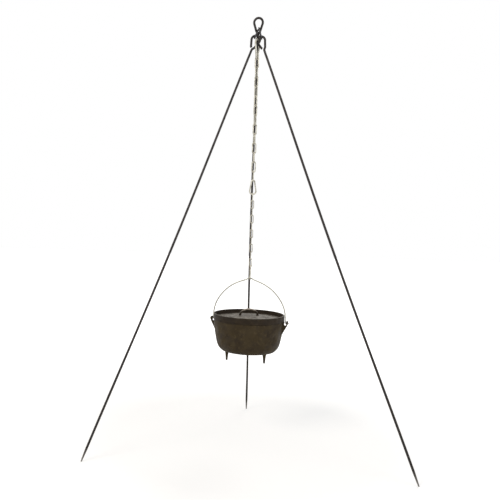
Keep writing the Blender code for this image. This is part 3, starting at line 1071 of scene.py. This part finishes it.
@dataclass
class Bail:
    """The pot's bent wire handle, with a small peak and headed pins at its ends."""

    peak: Vector
    yaw: float
    wire: float = 4.2 * MM
    drop: float = 154.2 * MM
    bend: float = 3.8 * MM

    def build(self, shop: Workshop) -> None:
        """Makes the handle and hands it over.

        Args:
            shop: the shared trees and finishes.
        """
        arch = [(0, 0), (3.5, -0.5), (8, -2.1), (14, -6.1), (28, -10.5), (48, -18.2), (66, -28.2),
                (83, -40.7), (99, -57.2), (112, -74.7), (121.5, -92.2), (127.5, -109.7),
                (130.5, -126.7), (131.1, -142.7)]
        # the bends reach as far as they can, so that the wire is one smooth line
        whole = [(x, z, math.inf) for x, z in [(-x, z) for x, z in arch[:0:-1]] + arch]
        line = eased(metres(whole), False, 4)
        side, lowest = arch[-1][0] * MM, -self.drop
        foot = arc((side + self.bend, lowest + self.bend), self.bend, math.pi, math.pi * 1.5, 10)
        thick = self.wire / 2
        head = [(141.0, 1.0), (141.05, 1.36), (141.4, 1.42), (142.8, 1.4), (143.4, 1.22), (143.8, 0.8)]
        half = foot + [(x * MM, lowest) for x, _ in head]
        sizes = [thick] * len(foot) + [thick * size for _, size in head]
        points = [(-x, z) for x, z in half[::-1]] + line[1:-1] + half
        radii = sizes[::-1] + [thick] * (len(line) - 2) + sizes
        turn = Matrix.Rotation(self.yaw, 3, "Z")
        spots = [self.peak + turn @ Vector((x, 0, z)) for x, z in points]
        finish = ZincPlate("smoked_bail_zinc", bright="#b4b2a5", dull="#a3a194", film="#8d8777",
                           film_from=0.6)
        wire = shop.bars.bar("bail_wire", spots, radii, False, finish.material(), 20)
        shop.hand_over(wire, "bail", "bail")


@dataclass
class Pot:
    """A three-footed camp oven with two ears, cast in one."""

    feet: Vector
    yaw: float
    foot_radius: float = 78 * MM
    foot_height: float = 35.5 * MM
    foot_sink: float = 2.5 * MM
    ear_width: float = 16 * MM
    ear_root: float = 121 * MM
    ear_flare_reach: float = 6 * MM
    ear_flare: float = 0.22
    ear_face: float = 140.5 * MM
    ear_plate: float = 5.5 * MM
    ear_rise: float = 141.5 * MM
    seat_rise: float = 3.5 * MM
    pin_hole: float = 2.7 * MM

    def wall(self) -> bpy.types.Mesh:
        """The turned wall and floor."""
        rim = (self.ear_rise + self.seat_rise - GAP) / MM
        floor = (self.foot_height - self.foot_sink) / MM
        outside = [(0, floor, 0), (87, floor + 0.2, 9), (95, floor + 2.4, 9), (100.3, floor + 7.2, 9),
                   (106.8, floor + 14.5, 9), (113, floor + 28, 20), (121, rim - 43.7, 20),
                   (124.3, rim - 13.7, 9), (124.5, rim, 1.2)]
        inside = [(120, rim, 1.2), (119.8, rim - 13.7, 9), (116.5, rim - 42.7, 20), (108.5, floor + 30, 20),
                  (101.5, floor + 15, 9), (95.5, floor + 8.5, 9), (86, floor + 5.5, 9), (0, floor + 5.2, 0)]
        return turned("pot_wall", eased(metres(outside + inside), False), CASTING_SEGMENTS)

    def foot(self, index: int) -> bpy.types.Object:
        """One cast foot, flared where it meets the floor.

        Args:
            index: which of the three.

        Returns:
            The foot.
        """
        high = self.foot_height / MM
        corners = [(0, 0, 0), (3.3, 0, 1.4), (4.4, high * 0.45, 6), (6.4, high * 0.86, 6), (9, high, 0),
                   (0, high, 0)]
        azimuth = math.radians(90 + 120 * index) + self.yaw
        mesh = turned("pot_foot", eased(metres(corners), False), 28)
        mesh.transform(Matrix.Translation(around(self.foot_radius, azimuth)))
        return put(f"pot_foot_{index}", mesh, None)

    def ear(self, side: int) -> bpy.types.Object:
        """One ear: a pocket for the bail behind a drilled plate, broader where it leaves the wall.

        Args:
            side: minus one for the left ear and one for the right ear.

        Returns:
            The ear.
        """
        face, back = self.ear_face / MM, (self.ear_face - self.ear_plate) / MM
        rise = self.ear_rise / MM
        corners = [(119, -40.5, 0), (121.2, -40.5, 0.8), (face, -4, 9), (face, 8, 2.4), (back, 8, 1.2),
                   (back, -8.5, 2.2), (127.2, -8.5, 2.2), (127.2, 3, 1), (122.2, 3, 1)]
        outline = eased(metres([(x * side, z + rise, reach) for x, z, reach in corners]), True)
        mesh = slab("pot_ear", outline, self.ear_width)
        # it grows broader over the last few millimetres before the wall
        for vertex in mesh.vertices:
            near = max(0.0, 1 - (abs(vertex.co.x) - self.ear_root) / self.ear_flare_reach)
            vertex.co.y *= 1 + self.ear_flare * min(near, 1.0)
        ear = put(f"pot_ear_{side + 1}", mesh, None)
        round_edge = ear.modifiers.new("edge", "BEVEL")
        round_edge.width, round_edge.segments, round_edge.limit_method = 0.9 * MM, 3, "ANGLE"
        round_edge.angle_limit = math.radians(50)
        settled(ear)
        ear.data.transform(Matrix.Rotation(self.yaw, 4, "Z"))
        return ear

    def build(self, shop: Workshop, finish: bpy.types.Material) -> None:
        """Casts the pot and hands it over.

        Args:
            shop: the shared trees and finishes.
            finish: the pot's material.
        """
        pot = put("pot_casting", self.wall(), finish)
        combined(pot, [self.foot(i) for i in range(3)] + [self.ear(-1), self.ear(1)], "UNION")
        turn = Matrix.Rotation(self.yaw, 3, "Z")
        out = self.ear_face - self.ear_plate / 2
        spots = {side: turn @ Vector((side * out, 0, self.ear_rise)) for side in (-1, 1)}
        holes = [pin(f"pin_hole_{side}", 12 * MM, self.pin_hole, spot, self.yaw)
                 for side, spot in spots.items()]
        combined(pot, holes, "DIFFERENCE")
        pot.data.transform(Matrix.Translation(self.feet))
        dress(pot, finish)
        shop.hand_over(pot, "pot", "pot")


@dataclass
class Lid:
    """A recessed lid with a raised rim and an arched handle."""

    seat: Vector
    handle_yaw: float
    half_span: float = 31.5 * MM
    handle_foot: float = 14.5 * MM
    handle_top: float = 38.2 * MM
    handle_steps: int = 44
    grip_mm: Point = (5.6, 2.9)
    grip_root_mm: Point = (1.6, 1.7)

    def plate(self) -> bpy.types.Mesh:
        """The turned plate and rim."""
        top = [(0, 17, 0), (35, 16.3, 20), (65, 14, 20), (93, 9, 20), (115, 5.3, 3), (119.5, 6, 1.6)]
        rim = [(121.2, 8, 1.6), (121.6, 21.2, 0.7), (122.4, 22, 0.7), (125.6, 22, 0.9), (126.4, 21.2, 0.9),
               (126.4, 0, 0.8)]
        under = [(118.8, 0, 0.5), (118.3, -5.5, 1), (115, -5.5, 1), (114, 0, 2), (93, 4.5, 20),
                 (60, 9.5, 20), (0, 12.5, 0)]
        return turned("lid_plate", eased(metres(top + rim + under), False), CASTING_SEGMENTS)

    def handle(self) -> bpy.types.Object:
        """The arched handle, flattened and wider at its roots."""
        points, sizes = [], []
        half, more = self.grip_mm, self.grip_root_mm
        for step in range(self.handle_steps + 1):
            a = math.pi * (1 - step / self.handle_steps)
            rise = max(math.sin(a), 0.0)
            height = self.handle_foot + (self.handle_top - self.handle_foot) * rise**0.75
            points.append(Vector((self.half_span * math.cos(a), 0, height)))
            root = max(0.0, 1 - rise / 0.5)
            sizes.append(((half[0] + more[0] * root) * MM, (half[1] + more[1] * root) * MM))
        return put("lid_grip", swept("lid_grip", points, sizes, Vector((0, 1, 0)), 24), None)

    def build(self, shop: Workshop, finish: bpy.types.Material) -> None:
        """Casts the lid and hands it over.

        Args:
            shop: the shared trees and finishes.
            finish: the lid's material.
        """
        lid = combined(put("lid_casting", self.plate(), finish), [self.handle()], "UNION")
        lid.data.transform(Matrix.Translation(self.seat) @ Matrix.Rotation(self.handle_yaw, 4, "Z"))
        dress(lid, finish)
        shop.hand_over(lid, "lid", "lid")


@dataclass
class Tripod:
    """The three rods and the two rings that tie their eyes together."""

    front_foot: float = 612 * MM
    back_foot: float = 389.5 * MM
    front_bow: float = 8 * MM
    back_bow: float = 5 * MM

    def build(self, shop: Workshop) -> None:
        """Makes the stand.

        Args:
            shop: the shared trees and finishes.
        """
        inward = Vector((math.cos(math.radians(30)), math.sin(math.radians(30)), 0)) * self.front_bow
        mirrored = Vector((-inward.x, inward.y, 0))
        sideways = Vector((-self.back_bow, 0, 0))
        Rod("back_leg", 90, self.back_foot, Vector((-0.23, 4.69, 60.65)) * MM, -0.08, sideways).build(shop)
        Rod("left_leg", 210, self.front_foot, Vector((-9.07, -4.52, 0)) * MM, -0.04, inward).build(shop)
        Rod("right_leg", 330, self.front_foot, Vector((10.83, 4.63, 0)) * MM, 0.08, mirrored).build(shop)
        OvalLink("left", Vector((-6.504, 5.248, 25.662)) * MM, 0.377, -0.561, 0.441).build(shop)
        OvalLink("right", Vector((7.241, 9.79, 29.222)) * MM, -0.089, -0.025, -0.262).build(shop)


@dataclass
class Rigging:
    """The three snap hooks, the two chains and the bail, from the top down."""

    big_wire: float = 6 * MM
    small_wire: float = 5 * MM
    upper_wire: float = 4 * MM
    lower_wire: float = 3 * MM
    middle_yaw: float = math.radians(-90)
    top_yaw: float = math.radians(-26.2)
    pot_yaw: float = math.radians(-11.5)

    def small_hook(self, name: str, above: float, place: Vector, yaw: float) -> SnapHook:
        """A 55 mm hook that hangs by its narrow end.

        Args:
            name: the hook's name.
            above: thickness of the wire it hangs on.
            place: centre of that wire.
            yaw: its turn about the plumb line.

        Returns:
            The hook, not built yet.
        """
        hang = above / 2 + GAP + self.small_wire / 2
        return SnapHook(name, self.small_wire, wide=11 * MM, narrow=5.5 * MM, length=55 * MM, hang=hang,
                        top=HookEnd.NARROW, nose_drop=2 * MM, place=place, yaw=yaw)

    def build(self, shop: Workshop) -> Vector:
        """Makes the rigging.

        Args:
            shop: the shared trees and finishes.

        Returns:
            The bail's peak.
        """
        place = TOP + Vector((-1.53, -4.45, -10.2)) * MM
        hook = SnapHook("upper_hook", self.big_wire, wide=15 * MM, narrow=6 * MM, length=73 * MM,
                        hang=15 * MM, top=HookEnd.WIDE, nose_drop=10.8 * MM, place=place,
                        yaw=self.top_yaw)
        hook.build(shop)
        place = place + Vector((0, 0, hook.bottom))
        chain = Chain("upper_link", 13, self.upper_wire, pitch=33 * MM, bend=6 * MM, above=self.big_wire,
                      start=place, first_yaw=self.top_yaw, last_yaw=self.middle_yaw, seed=7)
        chain.build(shop)
        hook = self.small_hook("middle_hook", self.upper_wire, chain.end, self.middle_yaw)
        hook.build(shop)
        place = chain.end + Vector((0, 0, hook.bottom))
        chain = Chain("lower_link", 10, self.lower_wire, pitch=25.9 * MM, bend=4.5 * MM,
                      above=self.small_wire, start=place, first_yaw=self.middle_yaw,
                      last_yaw=self.middle_yaw, seed=11)
        chain.build(shop)
        hook = self.small_hook("lower_hook", self.lower_wire, chain.end, 0.0)
        hook.build(shop)
        bail = Bail(Vector(), self.pot_yaw)
        bail.peak = chain.end + Vector((0, 0, hook.bottom + self.small_wire / 2 + GAP + bail.wire / 2))
        bail.build(shop)
        return bail.peak - Vector((0, 0, bail.drop))


# Floor, lights and camera


def seen_by(tree: bpy.types.NodeTree, *rays: str) -> bpy.types.NodeSocket:
    """One for rays of the named kinds, and zero for all others.

    Args:
        tree: the tree to add to.
        rays: kinds of ray.

    Returns:
        The share.
    """
    path = add_node(tree, "ShaderNodeLightPath").outputs
    seen = path[rays[0]]
    for ray in rays[1:]:
        seen = add_node(tree, "ShaderNodeMath", {0: seen, 1: path[ray]}, operation="MAXIMUM").outputs[0]
    return seen


@dataclass
class Studio:
    """A pale floor, soft light and the picture's viewpoint."""

    focal_px: float = 610.6
    frame_px: float = 500.0
    sensor_mm: float = 36.0
    eye: Vector = field(default_factory=lambda: Vector((-0.0001, -2.205, 0.7802)) + PLUMB)
    yaw_deg: float = -7.224
    pitch_deg: float = 3.622
    roll_deg: float = 1.371
    shift_px: Point = (76.4, 13.2)
    floor_near: float = 0.26
    floor_far: float = 0.8
    floor_near_reach: float = 0.5
    floor_far_reach: float = 2.0
    floor_half_width: float = 14.0
    surroundings: float = 0.62
    aim_height: float = 0.75

    def camera(self) -> None:
        """Sets the camera up as it stood for the picture."""
        data = bpy.data.cameras.new("viewpoint")
        data.sensor_width = self.sensor_mm
        data.lens = self.focal_px / self.frame_px * self.sensor_mm
        data.shift_x = self.shift_px[0] / self.frame_px
        data.shift_y = self.shift_px[1] / self.frame_px
        data.clip_end = 50
        camera = bpy.data.objects.new("viewpoint", data)
        yaw, pitch, roll = (math.radians(a) for a in (self.yaw_deg, self.pitch_deg, self.roll_deg))
        level = Vector((math.sin(yaw), math.cos(yaw), 0))
        ahead = level * math.cos(pitch) - Vector((0, 0, math.sin(pitch)))
        right = Vector((math.cos(yaw), -math.sin(yaw), 0))
        up = right.cross(ahead)
        rolled_right = right * math.cos(roll) + up * math.sin(roll)
        rolled_up = up * math.cos(roll) - right * math.sin(roll)
        axes = Matrix((rolled_right, rolled_up, -ahead)).transposed()
        camera.matrix_world = Matrix.Translation(self.eye) @ axes.to_4x4()
        bpy.context.scene.collection.objects.link(camera)
        bpy.context.scene.camera = camera

    def lamp(self, name: str, place: Vector, aim: Vector, width: float, watts: float, colour: str) -> None:
        """Adds a soft square light.

        Args:
            name: the light's name.
            place: where it stands.
            aim: the point that it faces.
            width: its side.
            watts: its power.
            colour: its colour as "#rrggbb".
        """
        data = bpy.data.lights.new(name, "AREA")
        data.size, data.energy, data.color = width, watts, linear(colour)[:3]
        light = bpy.data.objects.new(name, data)
        turn = (aim - place).to_track_quat("-Z", "Y").to_matrix().to_4x4()
        light.matrix_world = Matrix.Translation(place) @ turn
        bpy.context.scene.collection.objects.link(light)

    def floor(self) -> None:
        """Adds the floor. It is matt and pale, and keeps the shadows."""
        bm = bmesh.new()
        bmesh.ops.create_grid(bm, x_segments=2, y_segments=2, size=self.floor_half_width)
        floor = put("floor", mesh_of(bm, "floor"), None)
        made = bpy.data.materials.new("pale_floor")
        made.use_nodes = True
        tree = made.node_tree
        surface = tree.nodes["Principled BSDF"]
        surface.inputs["Base Color"].default_value = linear("#e4e3e1")
        surface.inputs["Roughness"].default_value = 0.9
        surface.inputs["Specular IOR Level"].default_value = 0.1
        seen = seen_by(tree, "Is Camera Ray", "Is Glossy Ray")
        place = add_node(tree, "ShaderNodeTexCoord")
        away = add_node(tree, "ShaderNodeVectorMath", {0: place.outputs["Object"]}, operation="LENGTH")
        pale = add_node(tree, "ShaderNodeMapRange", {0: away.outputs["Value"], 1: self.floor_near_reach,
                                                     2: self.floor_far_reach, 3: self.floor_near,
                                                     4: self.floor_far})
        glow = add_node(tree, "ShaderNodeMath", {0: seen, 1: pale.outputs[0]}, operation="MULTIPLY")
        lit = add_node(tree, "ShaderNodeEmission", {"Strength": glow.outputs[0]})
        both = add_node(tree, "ShaderNodeAddShader", {0: surface.outputs[0], 1: lit.outputs[0]})
        tree.links.new(both.outputs[0], tree.nodes["Material Output"].inputs["Surface"])
        floor.data.materials.append(made)

    def world(self) -> None:
        """Makes the surroundings white where they are seen and softer where they light."""
        world = bpy.data.worlds.new("studio")
        bpy.context.scene.world = world
        world.use_nodes = True
        tree = world.node_tree
        seen = seen_by(tree, "Is Camera Ray", "Is Glossy Ray", "Is Transmission Ray")
        strength = add_node(tree, "ShaderNodeMapRange", {0: seen, 3: self.surroundings, 4: 1.0})
        surface = tree.nodes["Background"]
        surface.inputs["Color"].default_value = (1, 1, 1, 1)
        tree.links.new(strength.outputs[0], surface.inputs["Strength"])

    def build(self) -> None:
        """Sets the whole studio up."""
        bpy.context.scene.view_settings.view_transform = "Standard"
        self.floor()
        self.world()
        aim = PLUMB + Vector((0, 0, self.aim_height))
        self.lamp("key", Vector((-1.9, -2.6, 2.9)), aim, width=1.6, watts=55, colour="#fff8ee")
        self.lamp("fill", Vector((2.5, -1.9, 1.7)), aim, width=1.8, watts=22, colour="#f2f6ff")
        self.lamp("back", Vector((0.9, 2.6, 2.6)), aim, width=1.4, watts=24, colour="#ffffff")
        self.camera()


def main() -> None:
    """Builds the object and its studio, and logs how many pieces were made."""
    logging.basicConfig(level=logging.INFO, format="%(message)s")
    shop = Workshop()
    Tripod().build(shop)
    pins = Rigging().build(shop)
    pot = Pot(pins - Vector((0, 0, Pot.ear_rise)), Rigging.pot_yaw)
    seat = pot.feet + Vector((0, 0, pot.ear_rise + pot.seat_rise))
    pot.build(shop, SeasonedIron("seasoned_cast_iron").material())
    # the top of the lid handle gets a painted highlight with wear, pale between these two heights
    lid_finish = SeasonedIron("ashy_cast_iron_lid", skin="#2a2116", oil="#201911", scorch="#332a1c",
                              ash_share=0.9, highlight_and_wear_from=seat.z + 30 * MM, highlight_and_wear_to=seat.z + 38 * MM)
    Lid(seat, handle_yaw=math.radians(11)).build(shop, lid_finish.material())
    Studio().build()
    LOG.info("%d pieces", shop.count)


if __name__ == "__main__":
    main()
